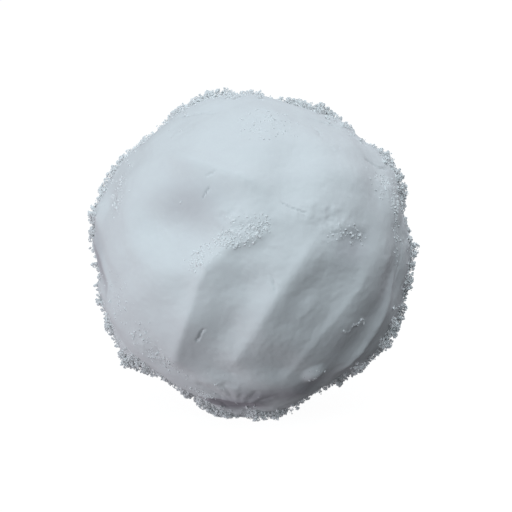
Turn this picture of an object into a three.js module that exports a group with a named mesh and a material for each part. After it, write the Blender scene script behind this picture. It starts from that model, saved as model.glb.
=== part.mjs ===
// A hand-packed snowball, in millimetres, +Z up.
//
// The ball stands on a small flat spot in the plane z = 0, with its middle straight above the origin.
// The side with the clearest finger marks faces -Y. Places on the ball are given as [turn, height] in
// degrees: turn runs from the front (-Y) towards +X, height runs up from the ball's middle.
// All distances across the surface are in degrees too, measured from the ball's middle.
import * as THREE from "three";

const BALL_RADIUS = 41;
// How far the ball's middle is above the flat spot it stands on.
const FOOT_DEPTH = 41.4;
// The icosahedron's edges are each split into this many parts, plus one.
const SPLITS = 21;

const DEGREE = Math.PI / 180;

function toward([turn, height]) {
  const level = Math.cos(height * DEGREE);
  const x = Math.sin(turn * DEGREE) * level;
  const y = -Math.cos(turn * DEGREE) * level;
  return new THREE.Vector3(x, y, Math.sin(height * DEGREE));
}

function ease(share) {
  const t = THREE.MathUtils.clamp(share, 0, 1);
  return t * t * (3 - 2 * t);
}

// ---- Finger marks: long furrows, each named by the crest along its near side ----

// Points along a smooth line through the places, on the unit ball.
const STEPS_PER_SPAN = 5;

function smoothLine(places) {
  const knots = places.map(toward);
  const last = knots.length - 1;
  const before = knots[0].clone().multiplyScalar(2).sub(knots[1]);
  const after = knots[last].clone().multiplyScalar(2).sub(knots[last - 1]);
  const all = [before, ...knots, after];
  const line = [];
  for (let span = 0; span < last; span += 1) {
    const [a, b, c, d] = all.slice(span, span + 4);
    for (let step = 0; step < STEPS_PER_SPAN; step += 1) {
      const t = step / STEPS_PER_SPAN;
      const point = new THREE.Vector3();
      point.addScaledVector(a, 0.5 * (-t + 2 * t * t - t ** 3));
      point.addScaledVector(b, 0.5 * (2 - 5 * t * t + 3 * t ** 3));
      point.addScaledVector(c, 0.5 * (t + 4 * t * t - 3 * t ** 3));
      point.addScaledVector(d, 0.5 * (-t * t + t ** 3));
      line.push(point.normalize());
    }
  }
  line.push(knots[last]);
  return line;
}

// How far a direction is from the line, positive to the left of the way it runs, and how far along
// the line the nearest point is, from 0 to 1.
function beside(direction, line) {
  let nearest = Infinity;
  let side = 1;
  let travelled = 0;
  let along = 0;
  for (let k = 1; k < line.length; k += 1) {
    const start = line[k - 1];
    const run = line[k].clone().sub(start);
    const length = run.length();
    const offset = direction.clone().sub(start);
    const t = THREE.MathUtils.clamp(offset.dot(run) / (length * length), 0, 1);
    const distance = offset.addScaledVector(run, -t).length();
    if (distance < nearest) {
      nearest = distance;
      side = direction.dot(start.clone().cross(run)) < 0 ? -1 : 1;
      along = travelled + t * length;
    }
    travelled += length;
  }
  return [side * nearest / DEGREE, along / travelled];
}

// The surface rises to the crest, falls to the furrow's floor and climbs back at its far side.
function furrowProfile(distance, { rise, fall, reach, crest, depth }) {
  if (distance < 0) {
    return crest * THREE.MathUtils.clamp(1 + distance / rise, 0, 1) ** 2;
  }
  if (distance < fall) {
    const t = distance / fall;
    return crest - (crest + depth) * (1.5 * t - 0.5 * t ** 3);
  }
  return -depth * (1 - ease((distance - fall) / (reach - fall)));
}

// The profile is rounded by averaging it with itself, shifted a little each way.
function furrowHeight(direction, furrow) {
  const [distance, along] = beside(direction, furrow.line);
  const middle = furrowProfile(distance, furrow);
  const inner = furrowProfile(distance - furrow.round, furrow);
  const outer = furrowProfile(distance + furrow.round, furrow);
  const fade = ease(along / furrow.start) * ease((1 - along) / furrow.end);
  return fade * (0.5 * middle + 0.25 * (inner + outer));
}

function furrow(places, rise, fall, reach, crest, depth, start, end, round) {
  return { line: smoothLine(places), rise, fall, reach, crest, depth, start, end, round };
}

const FURROWS = [
  // Four finger marks over the front.
  furrow([[-8, 20], [-12, 13], [-16, 7], [-19, 0], [-22, -9], [-26, -18], [-31, -27], [-38, -38]],
    10, 17, 30, 1.3, 1.5, 0.2, 0.15, 1.1),
  furrow([[29, 23], [25, 18], [21, 13], [17, 8], [11, 1], [6, -7], [1, -16], [-3, -23], [-7, -30],
    [-12, -38]],
    9, 18, 38, 0.9, 1.4, 0.25, 0.15, 1.3),
  furrow([[44, 12], [44, 5], [43, -1], [40, -6], [35, -12], [31, -17], [26, -23], [22, -30], [19, -37],
    [12, -44]],
    5, 17, 28, 0.4, 1.3, 0.3, 0.12, 1.0),
  furrow([[67, 2], [64, -8], [61, -16], [58, -23], [55, -30], [50, -38], [44, -46]],
    4, 5, 12, 0.6, 0.3, 0.2, 0.2, 0.8),
  // The fingertips' ends of the first two.
  furrow([[9, 21], [2, 18], [-5, 16], [-12, 11]], 5, 5, 13, 0.4, 0.6, 0.4, 0.3, 0.8),
  furrow([[54, 16], [46, 18], [38, 19], [31, 17], [25, 14]], 7, 6, 15, 0.4, 0.8, 0.4, 0.4, 1.2),
  // A brow over the upper hollow, and the lip of the hollow at the foot.
  furrow([[9, 27], [2, 36], [-14, 42], [-34, 45], [-62, 47]], 10, 10, 18, 1.7, 0.4, 0.3, 0.4, 1.5),
  furrow([[8, -57], [-4, -56], [-16, -56], [-28, -55], [-38, -57]], 4, 5, 15, 0.6, 0.7, 0.25, 0.2, 0.5),
  // The crease round the notch on the left.
  furrow([[-72, -20], [-67, -13], [-64, -6], [-69, 1], [-79, 6], [-90, 9]],
    4, 14, 26, 0.7, 1.3, 0.25, 0.2, 0.6),
  // The other hand's fingers, at the back.
  furrow([[122, 34], [127, 20], [131, 6], [132, -9], [129, -25]], 10, 11, 24, 0.9, 1.2, 0.25, 0.25, 1.5),
  furrow([[154, 40], [158, 25], [161, 9], [161, -8], [157, -26]], 10, 12, 25, 1.1, 1.4, 0.25, 0.25, 1.5),
  furrow([[188, 36], [190, 21], [190, 5], [188, -12], [182, -29]], 10, 12, 24, 1.0, 1.2, 0.25, 0.25, 1.5),
];

// ---- Swells and hollows: round or oval, turned anticlockwise as seen from outside ----

function swell(place, reach, height, stretch = 1, turned = 0) {
  const middle = toward(place);
  const east = new THREE.Vector3(Math.cos(place[0] * DEGREE), Math.sin(place[0] * DEGREE), 0);
  const north = middle.clone().cross(east);
  const c = Math.cos(turned * DEGREE);
  const s = Math.sin(turned * DEGREE);
  const long = east.clone().multiplyScalar(c).addScaledVector(north, s);
  const short = north.clone().multiplyScalar(c).addScaledVector(east, -s);
  return { middle, long, short, reach, height, stretch };
}

function swellHeight(direction, { middle, long, short, reach, height, stretch }) {
  if (direction.dot(middle) < 0) {
    return 0;
  }
  const p = direction.dot(long) / DEGREE / (reach * stretch);
  const q = direction.dot(short) / DEGREE / reach;
  const inside = Math.max(0, 1 - p * p - q * q);
  return height * inside * inside;
}

const SWELLS = [
  // Hollows pressed by thumb and palm, at the front and top.
  swell([-32, 20], 17, -3.8, 1.35, -8),
  swell([-35, 66], 20, -1.0, 1.6),
  swell([16, 44], 17, -1.0, 1.3, 60),
  swell([18, -4], 7, -0.5, 1.3, 60),
  swell([-94, -9], 10, -1.8, 1.4, 80),
  swell([-84, 17], 9, 1.6),
  swell([64, -4], 11, -1.0, 1.3, 60),
  swell([68, 62], 16, -1.2, 1.8, -30),
  // Swells left between them.
  swell([-66, 32], 12, 0.7, 1.3),
  swell([-40, -8], 20, 0.8, 1.4, 80),
  swell([-60, -22], 19, 1.5),
  swell([46, 38], 19, 1.0, 1.4),
  swell([20, 6], 8, 0.7, 1.4, 60),
  swell([31, -40], 6, 1.2),
  swell([70, 24], 12, 1.2),
  // Corners and flats round the sides, which make the outline uneven.
  swell([92, 33], 18, 2.2),
  swell([106, 54], 20, 0.8),
  swell([90, 2], 9, 1.1),
  swell([92, 12], 12, -0.7),
  swell([70, -58], 28, -1.8),
  swell([-14, -66], 8, -0.8, 1.8),
  swell([-20, -82], 24, 1.6),
  swell([-34, -76], 10, 0.8),
  swell([-70, -60], 26, -1.8),
  swell([-82, -34], 12, 1.2),
  swell([-97, 28], 20, 1.0),
  swell([-130, 72], 22, 1.2),
  // The heel of the hand and the thumb, at the back.
  swell([-138, 20], 30, -2.0, 1.2, 30),
  swell([-122, -26], 15, -2.0, 1.5, 70),
  swell([172, -54], 24, -1.4, 1.3),
  swell([150, 66], 22, -1.2, 1.3),
  swell([-108, -4], 12, 0.9, 1.5, 90),
  swell([-160, -20], 14, 0.9),
];

// ---- Gentle lumps all over: waves across the ball in evenly spread directions ----

const LUMP_HEIGHT = 0.1;
const LUMP_WAVES = 9;
// The first wave's ripples to a radian, how many more each next wave has, and how far it is shifted.
const FIRST_RIPPLES = 9;
const MORE_RIPPLES = 2;
const WAVE_SHIFT = 1.7;
const GOLDEN_TURN = 137.5;

function lumpHeight(direction) {
  let sum = 0;
  for (let k = 0; k < LUMP_WAVES; k += 1) {
    const height = Math.asin(1 - (2 * k + 1) / LUMP_WAVES) / DEGREE;
    const across = toward([GOLDEN_TURN * k, height]);
    const ripples = FIRST_RIPPLES + MORE_RIPPLES * k;
    sum += Math.sin(ripples * across.dot(direction) + WAVE_SHIFT * k);
  }
  return LUMP_HEIGHT * sum;
}

// ---- Crumbs: they cling along the seam where the two hands met, and a little everywhere ----

// The seam is a ring round the ball; this is the place furthest from it, in the middle of the front.
const SEAM_POLE = [0, 12];
const SEAM_WIDTH = 17;
const CRUMBS_EVERYWHERE = 0.7;
const CRUMBS_ON_SEAM = 1.1;
// A clump stands full up to this much less than one half-length from its middle, and ends as far past it.
const CLUMP_EDGE = 0.5;
// Clumps along the seam: [turn round it from the +X side, half its length, how much taller it is].
const CLUMPS = [
  [92, 12, 0.6], [68, 9, 1.9], [113, 10, 0.8], [143, 7, 0.3], [37, 8, 0.9], [25, 6, 1.5],
  [5, 6, 0.6], [-9, 9, 0.8], [-30, 8, 1.5], [-49, 12, 1.5], [-80, 9, 1.2], [-96, 8, 1.4],
  [-111, 9, 1.6], [-137, 8, 1.6], [-149, 7, 0.7], [-168, 9, 0.9], [171, 7, 1.7], [153, 8, 0.8],
];

function crumbHeight(direction) {
  const pole = toward(SEAM_POLE);
  const right = new THREE.Vector3(1, 0, 0);
  const up = right.clone().cross(pole).negate();
  const offSeam = Math.asin(THREE.MathUtils.clamp(direction.dot(pole), -1, 1)) / DEGREE;
  const turn = Math.atan2(direction.dot(up), direction.dot(right)) / DEGREE;
  let tall = CRUMBS_ON_SEAM;
  for (const [middle, half, extra] of CLUMPS) {
    const gap = ((turn - middle + 540) % 360) - 180;
    tall += extra * ease(1 + CLUMP_EDGE - Math.abs(gap) / half);
  }
  return CRUMBS_EVERYWHERE + tall * Math.exp(-((offSeam / SEAM_WIDTH) ** 2));
}

// ---- The ball ----

function ballRadius(direction) {
  let radius = BALL_RADIUS + lumpHeight(direction) + crumbHeight(direction);
  for (const mark of FURROWS) {
    radius += furrowHeight(direction, mark);
  }
  for (const mark of SWELLS) {
    radius += swellHeight(direction, mark);
  }
  return radius;
}

function snowball() {
  const geometry = new THREE.IcosahedronGeometry(1, SPLITS);
  const points = geometry.getAttribute("position");
  const point = new THREE.Vector3();
  for (let k = 0; k < points.count; k += 1) {
    point.fromBufferAttribute(points, k).normalize();
    point.multiplyScalar(ballRadius(point));
    point.z = Math.max(0, point.z + FOOT_DEPTH);
    points.setXYZ(k, point.x, point.y, point.z);
  }
  geometry.deleteAttribute("uv");
  geometry.computeVertexNormals();
  const snow = new THREE.MeshStandardMaterial({ color: 0xe4ebef, roughness: 0.9, metalness: 0 });
  const mesh = new THREE.Mesh(geometry, snow);
  mesh.name = "snowball";
  return mesh;
}

const part = new THREE.Group();
part.name = "snowball_part";
part.add(snowball());
export default part;
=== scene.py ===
"""Looks of a hand-packed snowball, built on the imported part's frame.

The ball's shape follows the same marks as the solid. Its middle is FOOT_DEPTH above the flat spot it
stands on. Places on it are (turn, height) in degrees: turn runs from the front (-Y) towards +X,
height runs up from the ball's middle. Distances across the surface are in degrees, seen from the
middle. Heights, depths and grain sizes are in millimetres until a mesh is made.
"""

import math

import bpy
import numpy as np
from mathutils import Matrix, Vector, noise


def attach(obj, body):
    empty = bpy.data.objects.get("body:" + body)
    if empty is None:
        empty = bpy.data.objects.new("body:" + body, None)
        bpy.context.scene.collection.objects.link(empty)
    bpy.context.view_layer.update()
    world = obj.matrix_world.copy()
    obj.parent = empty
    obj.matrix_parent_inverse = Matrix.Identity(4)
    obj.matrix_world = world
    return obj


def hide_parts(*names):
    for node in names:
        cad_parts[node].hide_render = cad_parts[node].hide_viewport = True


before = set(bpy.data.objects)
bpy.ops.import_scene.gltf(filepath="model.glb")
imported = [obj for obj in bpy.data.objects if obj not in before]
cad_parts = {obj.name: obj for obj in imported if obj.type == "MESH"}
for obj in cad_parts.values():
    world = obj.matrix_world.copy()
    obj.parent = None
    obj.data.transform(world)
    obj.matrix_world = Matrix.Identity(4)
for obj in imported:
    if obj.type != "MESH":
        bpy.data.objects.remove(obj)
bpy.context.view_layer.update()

MM = 0.001
BALL_RADIUS = 41.0
FOOT_DEPTH = 41.4

# The body's grid: each of the six sides of a cube is split into this many squares each way.
GRID = 128
# How much finer the grid is in front than behind.
FRONT_FINER = 0.3


# ---------------------------------------------------------------- places and directions

def toward(turn, height):
    turn = math.radians(turn)
    height = math.radians(height)
    level = math.cos(height)
    return np.array([math.sin(turn) * level, -math.cos(turn) * level, math.sin(height)])


def ease(share):
    t = np.clip(share, 0, 1)
    return t * t * (3 - 2 * t)


def degrees_from(dirs, middle):
    return np.degrees(np.arccos(np.clip(dirs @ middle, -1, 1)))


def unit_rows(rows):
    return rows / np.linalg.norm(rows, axis=1)[:, None]


# ---------------------------------------------------------------- marks shared with the solid

STEPS_PER_SPAN = 5
# How far past its own reach, in degrees, a furrow is worked out.
FURROW_MARGIN = 3


def smooth_line(places):
    """Points along a smooth line through the places, on the unit ball."""
    knots = [toward(*place) for place in places]
    knots = [2 * knots[0] - knots[1]] + knots + [2 * knots[-1] - knots[-2]]
    line = []
    for a, b, c, d in zip(knots, knots[1:], knots[2:], knots[3:]):
        for step in range(STEPS_PER_SPAN):
            t = step / STEPS_PER_SPAN
            point = (a * (-t + 2 * t * t - t ** 3)
                     + b * (2 - 5 * t * t + 3 * t ** 3)
                     + c * (t + 4 * t * t - 3 * t ** 3)
                     + d * (-t * t + t ** 3))
            line.append(point / np.linalg.norm(point))
    line.append(knots[-2])
    return np.array(line)


def beside(dirs, line):
    """Distance from the line, positive to the left of the way it runs, and the share along it."""
    runs = line[1:] - line[:-1]
    lengths = np.linalg.norm(runs, axis=1)
    travelled = np.concatenate([[0], np.cumsum(lengths)])
    nearest = np.full(len(dirs), np.inf)
    side = np.ones(len(dirs))
    along = np.zeros(len(dirs))
    for start, run, length, before in zip(line, runs, lengths, travelled):
        offset = dirs - start
        t = np.clip(offset @ run / length ** 2, 0, 1)
        distance = np.linalg.norm(offset - t[:, None] * run, axis=1)
        closer = distance < nearest
        nearest = np.where(closer, distance, nearest)
        side = np.where(closer, np.where(dirs @ np.cross(start, run) < 0, -1, 1), side)
        along = np.where(closer, before + t * length, along)
    return side * np.degrees(nearest), along / travelled[-1]


def near_line(dirs, line, reach):
    """Which directions lie within reach of the line."""
    return (dirs @ line.T).max(axis=1) > math.cos(math.radians(reach))


def furrow_profile(distance, rise, fall, reach, crest, depth):
    """Up to the crest, steeply down and levelling out to the floor, and back up at the far side."""
    near = crest * np.clip(1 + distance / rise, 0, 1) ** 2
    t = np.clip(distance / fall, 0, 1)
    inside = crest - (crest + depth) * (1.5 * t - 0.5 * t ** 3)
    far = -depth * (1 - ease((distance - fall) / (reach - fall)))
    return np.where(distance < 0, near, np.where(distance < fall, inside, far))


def furrow_height(dirs, places, rise, fall, reach, crest, depth, start, end, rounding):
    """The furrow along a line, rounded by averaging it with itself shifted each way."""
    line = smooth_line(places)
    near = near_line(dirs, line, max(rise, reach) + FURROW_MARGIN)
    distance, along = beside(dirs[near], line)
    profile = [furrow_profile(distance + shift, rise, fall, reach, crest, depth)
               for shift in (-rounding, 0, 0, rounding)]
    fade = ease(along / start) * ease((1 - along) / end)
    height = np.zeros(len(dirs))
    height[near] = fade * np.mean(profile, axis=0)
    return height


def swell_height(dirs, place, reach, height, stretch=1.0, turned=0.0):
    """A round or oval swell or hollow, turned anticlockwise as seen from outside."""
    middle = toward(*place)
    east = toward(place[0] + 90, 0)
    north = np.cross(middle, east)
    c = math.cos(math.radians(turned))
    s = math.sin(math.radians(turned))
    p = np.degrees(dirs @ (c * east + s * north)) / (reach * stretch)
    q = np.degrees(dirs @ (c * north - s * east)) / reach
    inside = np.maximum(0, 1 - p * p - q * q)
    return np.where(dirs @ middle > 0, height * inside * inside, 0)


# Furrows: places along the crest, then the widths of the rise and the fall, how far from the crest
# the far side ends, the crest's height, the floor's depth, the shares of its length over which it
# starts and ends, and how far its edge is rounded.
FURROWS = [
    # Four finger marks over the front.
    ([(-8, 20), (-12, 13), (-16, 7), (-19, 0), (-22, -9), (-26, -18), (-31, -27), (-38, -38)],
     10, 17, 30, 1.3, 1.5, 0.2, 0.15, 1.1),
    ([(29, 23), (25, 18), (21, 13), (17, 8), (11, 1), (6, -7), (1, -16), (-3, -23), (-7, -30),
      (-12, -38)],
     9, 18, 38, 0.9, 1.4, 0.25, 0.15, 1.3),
    ([(44, 12), (44, 5), (43, -1), (40, -6), (35, -12), (31, -17), (26, -23), (22, -30), (19, -37),
      (12, -44)],
     5, 17, 28, 0.4, 1.3, 0.3, 0.12, 1.0),
    ([(67, 2), (64, -8), (61, -16), (58, -23), (55, -30), (50, -38), (44, -46)],
     4, 5, 12, 0.6, 0.3, 0.2, 0.2, 0.8),
    # The fingertips' ends of the first two.
    ([(9, 21), (2, 18), (-5, 16), (-12, 11)], 5, 5, 13, 0.4, 0.6, 0.4, 0.3, 0.8),
    ([(54, 16), (46, 18), (38, 19), (31, 17), (25, 14)], 7, 6, 15, 0.4, 0.8, 0.4, 0.4, 1.2),
    # A brow over the upper hollow, and the lip of the hollow at the foot.
    ([(9, 27), (2, 36), (-14, 42), (-34, 45), (-62, 47)], 10, 10, 18, 1.7, 0.4, 0.3, 0.4, 1.5),
    ([(8, -57), (-4, -56), (-16, -56), (-28, -55), (-38, -57)], 4, 5, 15, 0.6, 0.7, 0.25, 0.2, 0.5),
    # The crease round the notch on the left.
    ([(-72, -20), (-67, -13), (-64, -6), (-69, 1), (-79, 6), (-90, 9)],
     4, 14, 26, 0.7, 1.3, 0.25, 0.2, 0.6),
    # The other hand's fingers, at the back.
    ([(122, 34), (127, 20), (131, 6), (132, -9), (129, -25)], 10, 11, 24, 0.9, 1.2, 0.25, 0.25, 1.5),
    ([(154, 40), (158, 25), (161, 9), (161, -8), (157, -26)], 10, 12, 25, 1.1, 1.4, 0.25, 0.25, 1.5),
    ([(188, 36), (190, 21), (190, 5), (188, -12), (182, -29)], 10, 12, 24, 1.0, 1.2, 0.25, 0.25, 1.5),
]

# Swells and hollows: place, reach, height, stretch, turned.
SWELLS = [
    # Hollows pressed by thumb and palm, at the front and top.
    ((-32, 20), 17, -3.8, 1.35, -8),
    ((-35, 66), 20, -1.0, 1.6),
    ((16, 44), 17, -1.0, 1.3, 60),
    ((18, -4), 7, -0.5, 1.3, 60),
    ((-94, -9), 10, -1.8, 1.4, 80),
    ((-84, 17), 9, 1.6),
    ((64, -4), 11, -1.0, 1.3, 60),
    ((68, 62), 16, -1.2, 1.8, -30),
    # Swells left between them.
    ((-66, 32), 12, 0.7, 1.3),
    ((-40, -8), 20, 0.8, 1.4, 80),
    ((-60, -22), 19, 1.5),
    ((46, 38), 19, 1.0, 1.4),
    ((20, 6), 8, 0.7, 1.4, 60),
    ((31, -40), 6, 1.2),
    ((70, 24), 12, 1.2),
    # Corners and flats round the sides, which make the outline uneven.
    ((92, 33), 18, 2.2),
    ((106, 54), 20, 0.8),
    ((90, 2), 9, 1.1),
    ((92, 12), 12, -0.7),
    ((70, -58), 28, -1.8),
    ((-14, -66), 8, -0.8, 1.8),
    ((-20, -82), 24, 1.6),
    ((-34, -76), 10, 0.8),
    ((-70, -60), 26, -1.8),
    ((-82, -34), 12, 1.2),
    ((-97, 28), 20, 1.0),
    ((-130, 72), 22, 1.2),
    # The heel of the hand and the thumb, at the back.
    ((-138, 20), 30, -2.0, 1.2, 30),
    ((-122, -26), 15, -2.0, 1.5, 70),
    ((172, -54), 24, -1.4, 1.3),
    ((150, 66), 22, -1.2, 1.3),
    ((-108, -4), 12, 0.9, 1.5, 90),
    ((-160, -20), 14, 0.9),
]

LUMP_HEIGHT = 0.1
LUMP_WAVES = 9
# The first wave's ripples to a radian, how many more each next wave has, and how far it is shifted.
FIRST_RIPPLES = 9
MORE_RIPPLES = 2
WAVE_SHIFT = 1.7
GOLDEN_TURN = 137.5


def lump_height(dirs):
    """Gentle lumps all over: waves across the ball in evenly spread directions."""
    total = np.zeros(len(dirs))
    for k in range(LUMP_WAVES):
        height = math.degrees(math.asin(1 - (2 * k + 1) / LUMP_WAVES))
        across = toward(GOLDEN_TURN * k, height)
        ripples = FIRST_RIPPLES + MORE_RIPPLES * k
        total += np.sin(ripples * (dirs @ across) + WAVE_SHIFT * k)
    return LUMP_HEIGHT * total


def packed_radius(dirs):
    radius = BALL_RADIUS + lump_height(dirs)
    for mark in FURROWS:
        radius += furrow_height(dirs, *mark)
    for mark in SWELLS:
        radius += swell_height(dirs, *mark)
    return radius


# The seam is a ring round the ball; this is the place furthest from it, in the middle of the front.
SEAM_POLE = (0, 12)
SEAM_WIDTH = 17
CRUMBS_EVERYWHERE = 0.7
CRUMBS_ON_SEAM = 1.1
# A clump stands full up to this much less than one half-length from its middle, and ends as far past it.
CLUMP_EDGE = 0.5
# Clumps along the seam: turn round it from the +X side, half its length, how much taller it is.
CLUMPS = [
    (92, 12, 0.6), (68, 9, 1.9), (113, 10, 0.8), (143, 7, 0.3), (37, 8, 0.9), (25, 6, 1.5),
    (5, 6, 0.6), (-9, 9, 0.8), (-30, 8, 1.5), (-49, 12, 1.5), (-80, 9, 1.2), (-96, 8, 1.4),
    (-111, 9, 1.6), (-137, 8, 1.6), (-149, 7, 0.7), (-168, 9, 0.9), (171, 7, 1.7), (153, 8, 0.8),
]


def seam_place(dirs):
    """How far in front of the seam each direction is, and its turn round the seam."""
    pole = toward(*SEAM_POLE)
    up = np.cross(pole, [1, 0, 0])
    ahead = np.degrees(np.arcsin(np.clip(dirs @ pole, -1, 1)))
    turn = np.degrees(np.arctan2(dirs @ up, dirs[:, 0]))
    return ahead, turn


def clump_height(turn):
    tall = np.zeros(len(turn))
    for middle, half, extra in CLUMPS:
        gap = np.abs((turn - middle + 540) % 360 - 180)
        tall += extra * ease(1 + CLUMP_EDGE - gap / half)
    return tall


def crumb_height(dirs):
    """The solid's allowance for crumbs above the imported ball."""
    ahead, turn = seam_place(dirs)
    on_seam = np.exp(-(ahead / SEAM_WIDTH) ** 2)
    return CRUMBS_EVERYWHERE + (CRUMBS_ON_SEAM + clump_height(turn)) * on_seam


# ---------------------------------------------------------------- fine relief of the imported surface

# How far each seed moves the noise.
SEED_SHIFT = (7.3, 3.1, 5.7)


def noise_at(dirs, grain, seed, octaves=1):
    """Smooth noise, about -1 to 1, with lumps about grain millimetres across."""
    scale = BALL_RADIUS / grain
    shift = Vector([seed * step for step in SEED_SHIFT])
    values = [noise.fractal(Vector(d) * scale + shift, 1.0, 2.0, octaves) for d in dirs.tolist()]
    return np.array(values)


# How far from its line a crack is worked out, and the size and strength of the noise that bends it.
CRACK_MARGIN = 4
WANDER_GRAIN = 1.6
WANDER = 0.5
FIRST_CRACK_SEED = 40
# The share of its length over which a crack starts, and over which it ends.
CRACK_FADE = 0.2
# Cracks: places, half-width in degrees and depth. A depth below nought is a raised vein.
CRACKS = [
    # Cracks in the upper half, and a slit in the first finger mark.
    ([(11, 31), (14, 29), (17, 27.7), (20, 26.4), (22.5, 26)], 0.45, 0.5),
    ([(58, 63), (56.5, 61), (55, 58.5), (50.5, 57), (48, 58)], 0.5, 0.5),
    ([(-22, -22), (-21, -20.5), (-19.5, -18), (-17.5, -15.5)], 0.45, 0.8),
    ([(-22, 31.5), (-20.5, 33), (-19, 36)], 0.38, 0.6),
    ([(-21.5, 39), (-18.5, 40), (-16.5, 41.5)], 0.38, 0.5),
    ([(68, 42), (72, 40), (75, 37.5), (79, 35), (84, 33)], 0.6, 0.7),
    ([(6, 5), (8, 1), (8, -2)], 0.5, 0.3),
    # Creases down the right side and under the lower right edge.
    ([(76, 27), (69, 19), (66, 10), (67, 2), (67, -6)], 0.6, 0.35),
    ([(72, 12), (70.5, 4), (68, -3), (64.5, -12)], 0.5, 0.35),
    ([(71, -22), (78, -30), (79, -36), (75, -41)], 0.7, 0.8),
    ([(72, -48), (59, -50), (52, -52.5), (40, -53)], 0.7, 0.8),
    # A fold along the upper left edge and one at the upper right.
    ([(-98, 56), (-84, 65), (-66, 71), (-46, 73)], 0.8, 0.5),
    ([(68, 68), (75, 64), (82, 59), (88, 55)], 0.8, 0.6),
    # Wrinkles that fan out above the hollow at the foot.
    ([(-19, -58), (-27, -54), (-36, -51)], 1.4, 0.25),
    ([(-17, -58), (-22, -50), (-29, -43)], 2.4, 0.4),
    ([(-15, -58), (-17, -52), (-20, -47)], 1.2, 0.25),
    ([(-13, -58), (-13, -49), (-15, -41)], 2.2, 0.35),
    ([(-9, -58), (-7, -52), (-6, -48)], 1.3, 0.2),
    ([(-6, -58), (-1, -52), (3, -46)], 2.2, 0.35),
    ([(-2, -58), (7, -54), (13, -52)], 1.6, 0.2),
    # A raised vein in the lower right.
    ([(37, -19.5), (41, -21), (42, -18.5), (45.5, -18.5), (47, -17), (50, -19.5)], 0.5, -0.35),
    # At the back.
    ([(150, 12), (157, 18), (160, 27)], 0.6, 0.6),
    ([(-142, -4), (-136, 2), (-133, 9)], 0.5, 0.5),
]


def crack_height(dirs):
    height = np.zeros(len(dirs))
    for k, (places, half, depth) in enumerate(CRACKS):
        line = smooth_line(places)
        near = near_line(dirs, line, CRACK_MARGIN)
        wander = noise_at(dirs[near], WANDER_GRAIN, FIRST_CRACK_SEED + k)
        distance, along = beside(dirs[near], line)
        across = np.clip(1 - np.abs(distance + WANDER * wander) / half, 0, 1)
        fade = ease(along / CRACK_FADE) * ease((1 - along) / CRACK_FADE)
        height[near] -= depth * across * fade
    return height


# Where the surface is broken up into scales and crumbs: place, reach, how strongly.
ROUGH_PATCHES = [
    ((-8, 22), 11, 0.7), ((-20, 8), 7, 0.7), ((32, 21), 10, 0.8), ((22, 26), 8, 0.5),
    ((9, 68), 13, 0.8), ((-44, -27), 11, 0.6), ((-70, 27), 9, 0.7), ((70, 29), 9, 0.8),
    ((-12, -44), 11, 0.5), ((46, 50), 10, 0.4), ((80, 8), 11, 0.8), ((55, -34), 9, 0.5),
    ((-60, 60), 10, 0.5), ((31, -40), 6, 0.4), ((140, 30), 22, 0.7), ((-150, 50), 25, 0.7),
    ((-170, -30), 22, 0.7), ((120, -30), 18, 0.7),
]


# A rough patch holds its strength up to near its edge: the higher this is, the nearer.
PATCH_FLATNESS = 1.6
SEAM_ROUGHNESS = 0.7
SEAM_ROUGH_WIDTH = 14


def roughness(dirs):
    """From 0 where hands pressed the surface smooth to 1 where it is broken up."""
    rough = np.zeros(len(dirs))
    for place, reach, strength in ROUGH_PATCHES:
        inside = 1 - degrees_from(dirs, toward(*place)) / reach
        rough = np.maximum(rough, strength * ease(PATCH_FLATNESS * inside))
    ahead, _ = seam_place(dirs)
    return np.maximum(rough, SEAM_ROUGHNESS * np.exp(-(ahead / SEAM_ROUGH_WIDTH) ** 2))


# Each kind of relief: how high it is, and how wide its lumps are.
UNEVEN_HEIGHT = 0.14
UNEVEN_GRAIN = 7.0
FINE_HEIGHT = 0.06
FINE_GRAIN = 1.5
SCALE_STEP = 0.3
SCALE_GRAIN = 2.6
SCALE_LEVELS = 3
# The noise that breaks up the edges of the rough patches.
PATCH_GRAIN = 4.0


def relief_height(dirs):
    """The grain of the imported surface: faint unevenness, and scales where it is broken up."""
    rough = roughness(dirs)
    uneven = noise_at(dirs, UNEVEN_GRAIN, 1, 3)
    fine = noise_at(dirs, FINE_GRAIN, 2, 3)
    scales = noise_at(dirs, SCALE_GRAIN, 3, 2)
    steps = np.round(scales * SCALE_LEVELS) / SCALE_LEVELS
    broken = np.clip(rough * 1.6 + 0.35 * noise_at(dirs, PATCH_GRAIN, 4) - 0.35, 0, 1)
    height = UNEVEN_HEIGHT * uneven + FINE_HEIGHT * fine * (1 + 2 * broken)
    height += SCALE_STEP * broken * (0.7 * steps + 0.3 * scales)
    return height + crack_height(dirs)


# ---------------------------------------------------------------- meshes

def new_object(name, points, faces, sides, smooth):
    """A mesh object from millimetre points about the ball's middle. faces is a flat index array."""
    points = points.copy()
    points[:, 2] = np.maximum(points[:, 2] + FOOT_DEPTH, 0)
    mesh = bpy.data.meshes.new(name)
    mesh.vertices.add(len(points))
    mesh.vertices.foreach_set("co", (points * MM).ravel())
    count = len(faces) // sides
    mesh.loops.add(len(faces))
    mesh.loops.foreach_set("vertex_index", faces.astype(np.int32))
    mesh.polygons.add(count)
    mesh.polygons.foreach_set("loop_start", np.arange(0, len(faces), sides, dtype=np.int32))
    mesh.polygons.foreach_set("use_smooth", np.full(count, smooth))
    mesh.update(calc_edges=True)
    mesh.validate()
    made = bpy.data.objects.new(name, mesh)
    bpy.context.scene.collection.objects.link(made)
    return made


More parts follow.
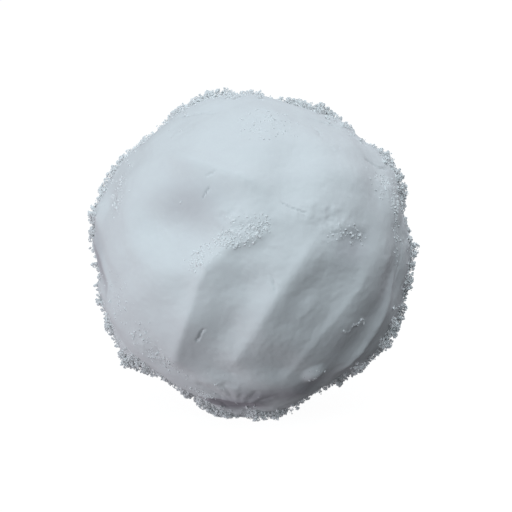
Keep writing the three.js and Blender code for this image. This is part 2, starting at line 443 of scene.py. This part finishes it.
def cube_sphere(splits):
    """Directions and four-sided faces of a cube's grid pushed out to a ball."""
    steps = np.tan(np.linspace(-math.pi / 4, math.pi / 4, splits + 1))
    a, b = np.meshgrid(steps, steps, indexing="ij")
    one = np.ones_like(a)
    sides = [(one, a, b), (-one, b, a), (b, one, a), (a, -one, b), (a, b, one), (b, a, -one)]
    i, j = np.meshgrid(np.arange(splits), np.arange(splits), indexing="ij")
    row = splits + 1
    square = np.stack([i * row + j, (i + 1) * row + j, (i + 1) * row + j + 1, i * row + j + 1], -1)
    square = square.reshape(-1, 4)
    dirs = unit_rows(np.concatenate([np.stack(side, -1).reshape(-1, 3) for side in sides]))
    quads = np.concatenate([square + k * row * row for k in range(len(sides))])
    _, first, joined = np.unique(np.round(dirs, 6), axis=0, return_index=True, return_inverse=True)
    dirs = dirs[first]
    quads = joined.reshape(-1)[quads]
    corners = dirs[quads]
    facing = np.cross(corners[:, 1] - corners[:, 0], corners[:, 2] - corners[:, 0])
    inward = (facing * corners.mean(axis=1)).sum(axis=1) < 0
    quads[inward] = quads[inward][:, ::-1]
    return dirs, quads


def drawn_forward(dirs):
    """The directions moved towards the front, so that the grid is finer there."""
    front = toward(*SEAM_POLE)
    angle = np.arccos(np.clip(dirs @ front, -1, 1))
    moved = angle - FRONT_FINER * np.sin(angle)
    sideways = dirs - (dirs @ front)[:, None] * front
    sideways /= np.maximum(np.linalg.norm(sideways, axis=1), 1e-9)[:, None]
    return np.cos(moved)[:, None] * front + np.sin(moved)[:, None] * sideways


# Painted shade: the snow is greyed in its hollows and creases, where shade falls: place, reach, how
# much, stretch, turned.
PAINTED_SHADE_MARKS = [
    ((-27, 30), 15, 0.32, 1.5, -8),
    ((-76, 1), 11, 0.6, 1.6, -50),
    ((-15, -62), 10, 1.8, 1.7),
    ((40, 11), 10, 0.4, 1.4, 15),
    ((60, -6), 14, 0.2, 1.4, 70),
    ((24, -50), 10, 0.7, 2.0, 15),
    ((-2, -52), 10, 0.55, 1.3),
    ((41, -27), 10, 0.2, 2.0, 60),
    ((-25, -27), 9, 0.22, 2.2, 60),
]


# How strongly painted shade greys each direction, from 0 to 1.
def painted_shade_share(dirs):
    total = np.zeros(len(dirs))
    for mark in PAINTED_SHADE_MARKS:
        total += swell_height(dirs, *mark)
    return np.clip(total, 0, 1)


def packed_ball():
    dirs, quads = cube_sphere(GRID)
    dirs = drawn_forward(dirs)
    radius = packed_radius(dirs) + relief_height(dirs)
    made = new_object("packed_ball", dirs * radius[:, None], quads.ravel(), 4, True)
    # The share of painted shade is kept on the mesh for the snow's colour.
    painted_shade = made.data.attributes.new("painted_shade", "FLOAT", "POINT")
    painted_shade.data.foreach_set("value", painted_shade_share(dirs))
    return made


# ---------------------------------------------------------------- crumbs

SEED = 7
rng = np.random.default_rng(SEED)

GOLDEN = (1 + math.sqrt(5)) / 2
ICO_POINTS = unit_rows(np.array([
    (-1, GOLDEN, 0), (1, GOLDEN, 0), (-1, -GOLDEN, 0), (1, -GOLDEN, 0),
    (0, -1, GOLDEN), (0, 1, GOLDEN), (0, -1, -GOLDEN), (0, 1, -GOLDEN),
    (GOLDEN, 0, -1), (GOLDEN, 0, 1), (-GOLDEN, 0, -1), (-GOLDEN, 0, 1)]))
ICO_FACES = np.array([
    (0, 11, 5), (0, 5, 1), (0, 1, 7), (0, 7, 10), (0, 10, 11),
    (1, 5, 9), (5, 11, 4), (11, 10, 2), (10, 7, 6), (7, 1, 8),
    (3, 9, 4), (3, 4, 2), (3, 2, 6), (3, 6, 8), (3, 8, 9),
    (4, 9, 5), (2, 4, 11), (6, 2, 10), (8, 6, 7), (9, 8, 1)])


def random_turns(count):
    """Random rotation matrices, one per crumb."""
    q = unit_rows(rng.normal(size=(count, 4)))
    w, x, y, z = q.T
    return np.stack([
        np.stack([1 - 2 * (y * y + z * z), 2 * (x * y - z * w), 2 * (x * z + y * w)], -1),
        np.stack([2 * (x * y + z * w), 1 - 2 * (x * x + z * z), 2 * (y * z - x * w)], -1),
        np.stack([2 * (x * z - y * w), 2 * (y * z + x * w), 1 - 2 * (x * x + y * y)], -1)], 1)


# How far a grain's corners and its three widths stray from even, as the least and most share.
CORNER_SHARES = (0.65, 1.3)
WIDTH_SHARES = (0.45, 1.25)


def crumb_mesh(name, middles, sizes):
    """Angular crumbs, each its own lopsided twenty-sided grain."""
    count = len(middles)
    uneven = rng.uniform(*CORNER_SHARES, size=(count, len(ICO_POINTS), 1))
    squash = rng.uniform(*WIDTH_SHARES, size=(count, 1, 3))
    grains = ICO_POINTS[None] * uneven * squash * sizes[:, None, None]
    grains = np.einsum("nij,nkj->nki", random_turns(count), grains)
    points = (grains + middles[:, None]).reshape(-1, 3)
    faces = ICO_FACES[None] + len(ICO_POINTS) * np.arange(count)[:, None, None]
    return new_object(name, points, faces.ravel(), 3, False)


def scattered(count):
    return unit_rows(rng.normal(size=(count, 3)))


GRAIN = 0.24
# How widely grain sizes are spread about the usual one, as the spread of their logarithm.
GRAIN_SPREAD = 0.38
LARGEST_GRAIN = 0.6


def grain_sizes(count):
    spread = np.exp(GRAIN_SPREAD * rng.normal(size=count))
    return np.clip(GRAIN * spread, 0.5 * GRAIN, LARGEST_GRAIN)


def beside_place(dirs, across, turn):
    """Directions moved across millimetres sideways, each in its own way."""
    helper = np.where(np.abs(dirs[:, 2:]) > 0.9, [[1.0, 0, 0]], [[0, 0, 1.0]])
    east = unit_rows(np.cross(helper, dirs))
    north = np.cross(dirs, east)
    sideways = np.cos(turn)[:, None] * east + np.sin(turn)[:, None] * north
    return unit_rows(dirs + (across / BALL_RADIUS)[:, None] * sideways)


# How much a heap narrows from its foot to its top, as a share.
HEAP_NARROWS = 0.85
# How many grains fill a heap, for each cubic millimetre of its width squared times its height.
GRAINS_PER_HEAP = 13


def heaps(dirs, width, height):
    """Middles and sizes of the grains in small heaps, narrowing to a ragged top."""
    counts = np.maximum(1, np.round(GRAINS_PER_HEAP * width ** 2 * height)).astype(int)
    dirs, width, height = (np.repeat(v, counts, axis=0) for v in (dirs, width, height))
    size = grain_sizes(len(dirs))
    level = rng.random(len(dirs)) ** 1.3
    across = width * np.sqrt(rng.random(len(dirs)) * (1 - HEAP_NARROWS * level))
    dirs = beside_place(dirs, across, rng.uniform(0, 2 * math.pi, len(dirs)))
    radius = packed_radius(dirs) + np.maximum(level * height - 0.5 * size, -0.3 * size)
    return dirs * radius[:, None], size


SEAM_TRIES = 30000
# Most heaps stand this many degrees behind the seam, and thin out over this many.
HEAPS_BEHIND = 3
HEAPS_WIDTH = 9
CRUMB_PATCH_GRAIN = 5.0
LOWEST_HEAP = 0.3
# A heap's width is this share of its height, least and most, and this much more.
HEAP_SLIMNESS = (0.25, 0.65)
HEAP_EXTRA_WIDTH = 0.14


def seam_crumbs():
    """Heaps along the seam, tall where they clump, with bare gaps between."""
    dirs = scattered(SEAM_TRIES)
    ahead, turn = seam_place(dirs)
    clumped = clump_height(turn)
    patchy = noise_at(dirs, CRUMB_PATCH_GRAIN, 11, 2)
    on_seam = np.exp(-((ahead + HEAPS_BEHIND) / HEAPS_WIDTH) ** 2)
    keep = rng.random(len(dirs)) < on_seam * np.clip(0.65 + 0.8 * patchy + 0.2 * clumped, 0.3, 1)
    dirs = dirs[keep]
    limit = crumb_height(dirs)
    height = limit * rng.beta(1.6, 1.5, len(dirs)) * np.clip(0.75 + 0.5 * patchy[keep], 0.3, 1)
    height = np.maximum(height, LOWEST_HEAP)
    width = height * rng.uniform(*HEAP_SLIMNESS, len(dirs)) + HEAP_EXTRA_WIDTH
    return heaps(dirs, width, height)


LOOSE_TRIES = 30000
# The back is fully strewn from this many degrees behind the seam.
BACK_EASE = 30
# The chance of a crumb anywhere, and how much rough patches and the back add to it.
CHANCE_ANYWHERE = 0.002
CHANCE_ON_ROUGH = 0.2
CHANCE_BEHIND = 0.1


def loose_crumbs():
    """Single crumbs and small heaps where the surface is broken up, and a few anywhere."""
    dirs = scattered(LOOSE_TRIES)
    ahead, _ = seam_place(dirs)
    rough = roughness(dirs)
    behind = ease(-ahead / BACK_EASE)
    patchy = np.clip(0.4 + 0.9 * noise_at(dirs, CRUMB_PATCH_GRAIN, 12, 2), 0, 1)
    chance = (CHANCE_ANYWHERE + CHANCE_ON_ROUGH * np.clip(rough - 0.3, 0, 1) * patchy
              + CHANCE_BEHIND * behind * patchy)
    keep = rng.random(len(dirs)) < chance
    dirs = dirs[keep]
    height = 0.15 + 0.6 * rng.random(len(dirs)) ** 2 * (0.3 + behind[keep])
    return heaps(dirs, 0.3 + 0.7 * height, height)


# Pale flecks pressed into the surface: a line of places, how far to its sides, how many.
FLECKS = [
    ([(-22, 8), (-18, 11), (-14, 14), (-8, 17), (-3, 18), (2, 21), (5, 23)], 4, 420),
    ([(-8, 20), (0, 22)], 6, 120),
    ([(-74, 32), (-70, 26), (-66, 22)], 7, 130),
    ([(66, 32), (70, 28), (76, 24)], 8, 170),
    ([(68, 20), (68, 4)], 4, 60),
    ([(4, 66), (20, 66)], 10, 120),
    ([(37, -19.5), (41, -21), (42, -18.5), (45.5, -18.5), (47, -17), (50, -19.5)], 0.7, 60),
    ([(-48, -22), (-44, -30), (-36, -36)], 7, 130),
    ([(-34, -50), (-28, -54)], 4, 70),
    ([(32, 17), (45, 16)], 5, 60),
    ([(-60, -5), (-50, -14)], 10, 60),
    ([(30, -40), (32, -40)], 4, 25),
    ([(130, 30), (150, -10), (-170, -30), (-140, 30)], 30, 400),
]


FLECK_SHARE = 0.8
# How far a fleck's middle lies from the surface, in its own sizes: least and most.
FLECK_SUNK = (-0.25, 0.35)


def flecks():
    """Single small grains, mostly sunk in."""
    dirs = []
    for places, across, count in FLECKS:
        line = smooth_line(places)
        near = line[rng.integers(0, len(line), count)]
        away = across * rng.random(count) ** 0.8 * BALL_RADIUS * math.radians(1)
        dirs.append(beside_place(near, away, rng.uniform(0, 2 * math.pi, count)))
    dirs = np.concatenate(dirs)
    size = FLECK_SHARE * grain_sizes(len(dirs))
    radius = packed_radius(dirs) + rng.uniform(*FLECK_SUNK, len(dirs)) * size
    return dirs * radius[:, None], size


CRUMBS_PER_MESH = 9900


def add_crumbs(name, middles, sizes):
    made = []
    order = rng.permutation(len(middles))
    for k, first in enumerate(range(0, len(order), CRUMBS_PER_MESH)):
        chosen = order[first:first + CRUMBS_PER_MESH]
        made.append(crumb_mesh(f"{name}_{k + 1}", middles[chosen], sizes[chosen]))
    return made


# ---------------------------------------------------------------- materials

BODY_COLOUR = (0.84, 0.84, 0.84, 1)
# The crumbs are painted lighter than the body: painted light that stands in for the light passing
# through the grains and lifts their shade.
CRUMB_PAINTED_LIGHT_COLOUR = (0.92, 0.92, 0.92, 1)
# The body is mottled between these two, and greyed towards a painted shade colour in its hollows.
DARKER_SNOW = (0.81, 0.81, 0.82, 1)
LIGHTER_SNOW = (0.86, 0.87, 0.87, 1)
PAINTED_SHADE_COLOUR = (0.44, 0.41, 0.44, 1)
SNOW_ROUGHNESS = 0.85
SNOW_SPECULAR = 0.15
MOTTLE_SCALE = 260
MOTTLE_DETAIL = 5


def snow_material(name, colour, patterned):
    material = bpy.data.materials.new(name)
    material.use_nodes = True
    nodes = material.node_tree.nodes
    links = material.node_tree.links
    shader = nodes["Principled BSDF"]
    shader.inputs["Base Color"].default_value = colour
    shader.inputs["Roughness"].default_value = SNOW_ROUGHNESS
    shader.inputs["Specular IOR Level"].default_value = SNOW_SPECULAR
    if patterned:
        place = nodes.new("ShaderNodeTexCoord")
        mottle = nodes.new("ShaderNodeTexNoise")
        mottle.inputs["Scale"].default_value = MOTTLE_SCALE
        mottle.inputs["Detail"].default_value = MOTTLE_DETAIL
        colours = nodes.new("ShaderNodeMix")
        colours.data_type = "RGBA"
        colours.inputs["A"].default_value = DARKER_SNOW
        colours.inputs["B"].default_value = LIGHTER_SNOW
        links.new(place.outputs["Object"], mottle.inputs["Vector"])
        links.new(mottle.outputs["Fac"], colours.inputs["Factor"])
        # Painted shade: the hollows are mixed towards a grey.
        painted_shade = nodes.new("ShaderNodeAttribute")
        painted_shade.attribute_name = "painted_shade"
        painted_shade_mix = nodes.new("ShaderNodeMix")
        painted_shade_mix.data_type = "RGBA"
        painted_shade_mix.inputs["B"].default_value = PAINTED_SHADE_COLOUR
        links.new(painted_shade.outputs["Fac"], painted_shade_mix.inputs["Factor"])
        links.new(colours.outputs["Result"], painted_shade_mix.inputs["A"])
        links.new(painted_shade_mix.outputs["Result"], shader.inputs["Base Color"])
    return material


# ---------------------------------------------------------------- the studio

CAMERA_HEIGHT = 12
CAMERA_DISTANCE = 0.93
LENS = 250
SENSOR = 36
SHIFT_RIGHT = 0.007
SHIFT_UP = -0.004
NEAREST_SEEN = 0.01


def add_camera():
    middle = Vector((0, 0, FOOT_DEPTH * MM))
    back = Vector(toward(0, CAMERA_HEIGHT))
    data = bpy.data.cameras.new("camera")
    data.lens = LENS
    data.sensor_width = SENSOR
    data.shift_x = SHIFT_RIGHT
    data.shift_y = SHIFT_UP
    data.clip_start = NEAREST_SEEN
    made = bpy.data.objects.new("camera", data)
    made.location = middle + CAMERA_DISTANCE * back
    made.rotation_euler = (-back).to_track_quat("-Z", "Y").to_euler()
    bpy.context.scene.collection.objects.link(made)
    bpy.context.scene.camera = made


COOL = (0.81, 0.98, 1.05)
PLAIN = (0.95, 0.95, 1.03)
# The soft lights: the place on the ball that each faces, its strength, its narrowness and its tint.
# A light fades as the cosine of the angle from its middle, to the power of its narrowness.
SOFT_LIGHTS = [
    # A wide softbox overhead, drawn towards the camera.
    ((-10, 50), 1.75, 4, COOL),
    # A second softbox, high on the right and a little behind.
    ((95, 55), 0.8, 4, PLAIN),
    # A wide panel on the left.
    ((-65, -10), 0.95, 4, PLAIN),
    # What a pale table sends back from low on the left.
    ((-100, -45), 0.6, 4, PLAIN),
    # A panel behind, so that the back is not left dark.
    ((165, 20), 0.55, 3, PLAIN),
]


def soft_light(nodes, links, generated, place, strength, narrowness, tint):
    """A socket with the light's colour, for the direction that is looked along."""
    cosine = nodes.new("ShaderNodeVectorMath")
    cosine.operation = "DOT_PRODUCT"
    cosine.inputs[1].default_value = toward(*place)
    links.new(generated, cosine.inputs[0])
    ahead = nodes.new("ShaderNodeMath")
    ahead.operation = "MAXIMUM"
    ahead.inputs[1].default_value = 0
    links.new(cosine.outputs["Value"], ahead.inputs[0])
    fading = nodes.new("ShaderNodeMath")
    fading.operation = "POWER"
    fading.inputs[1].default_value = narrowness
    links.new(ahead.outputs["Value"], fading.inputs[0])
    coloured = nodes.new("ShaderNodeVectorMath")
    coloured.operation = "SCALE"
    coloured.inputs[0].default_value = [strength * share for share in tint]
    links.new(fading.outputs["Value"], coloured.inputs["Scale"])
    return coloured.outputs["Vector"]


def add_world():
    """White to the camera; as light, the soft lights added together."""
    world = bpy.data.worlds.new("studio")
    bpy.context.scene.world = world
    world.use_nodes = True
    nodes = world.node_tree.nodes
    links = world.node_tree.links
    nodes.clear()
    place = nodes.new("ShaderNodeTexCoord")
    total = None
    for light_marks in SOFT_LIGHTS:
        light = soft_light(nodes, links, place.outputs["Generated"], *light_marks)
        if total is None:
            total = light
        else:
            adding = nodes.new("ShaderNodeVectorMath")
            links.new(total, adding.inputs[0])
            links.new(light, adding.inputs[1])
            total = adding.outputs["Vector"]
    sky = nodes.new("ShaderNodeBackground")
    links.new(total, sky.inputs["Color"])
    white = nodes.new("ShaderNodeBackground")
    white.inputs["Color"].default_value = (1, 1, 1, 1)
    path = nodes.new("ShaderNodeLightPath")
    mix = nodes.new("ShaderNodeMixShader")
    output = nodes.new("ShaderNodeOutputWorld")
    links.new(path.outputs["Is Camera Ray"], mix.inputs[0])
    links.new(sky.outputs["Background"], mix.inputs[1])
    links.new(white.outputs["Background"], mix.inputs[2])
    links.new(mix.outputs["Shader"], output.inputs["Surface"])


FLOOR_SIZE = 12
FLOOR_COLOUR = (0.1, 0.1, 0.1, 1)
FLOOR_GLOW = 0.96


def add_floor():
    half = FLOOR_SIZE / 2
    mesh = bpy.data.meshes.new("floor")
    mesh.from_pydata([(-half, -half, 0), (half, -half, 0), (half, half, 0), (-half, half, 0)],
                     [], [(0, 1, 2, 3)])
    floor = bpy.data.objects.new("floor", mesh)
    bpy.context.scene.collection.objects.link(floor)
    material = bpy.data.materials.new("floor")
    material.use_nodes = True
    shader = material.node_tree.nodes["Principled BSDF"]
    shader.inputs["Base Color"].default_value = FLOOR_COLOUR
    shader.inputs["Roughness"].default_value = 1
    shader.inputs["Specular IOR Level"].default_value = 0
    shader.inputs["Emission Color"].default_value = (1, 1, 1, 1)
    shader.inputs["Emission Strength"].default_value = FLOOR_GLOW
    mesh.materials.append(material)
    floor.visible_diffuse = False
    floor.visible_glossy = False
    floor.visible_shadow = False


# ---------------------------------------------------------------- build

snow = snow_material("packed_snow", BODY_COLOUR, True)
# The crumbs' material carries their painted light, a colour lighter than the body's.
crumb_snow = snow_material("crumb_snow", CRUMB_PAINTED_LIGHT_COLOUR, False)

ball = packed_ball()
ball.data.materials.append(snow)
crumbs = add_crumbs("seam_crumbs", *seam_crumbs())
crumbs += add_crumbs("loose_crumbs", *loose_crumbs())
crumbs += add_crumbs("flecks", *flecks())
for piece in crumbs:
    piece.data.materials.append(crumb_snow)
for piece in [ball] + crumbs:
    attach(piece, "root")
    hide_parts("snowball")

bpy.context.scene.view_settings.view_transform = "Standard"
add_world()
add_floor()
add_camera()
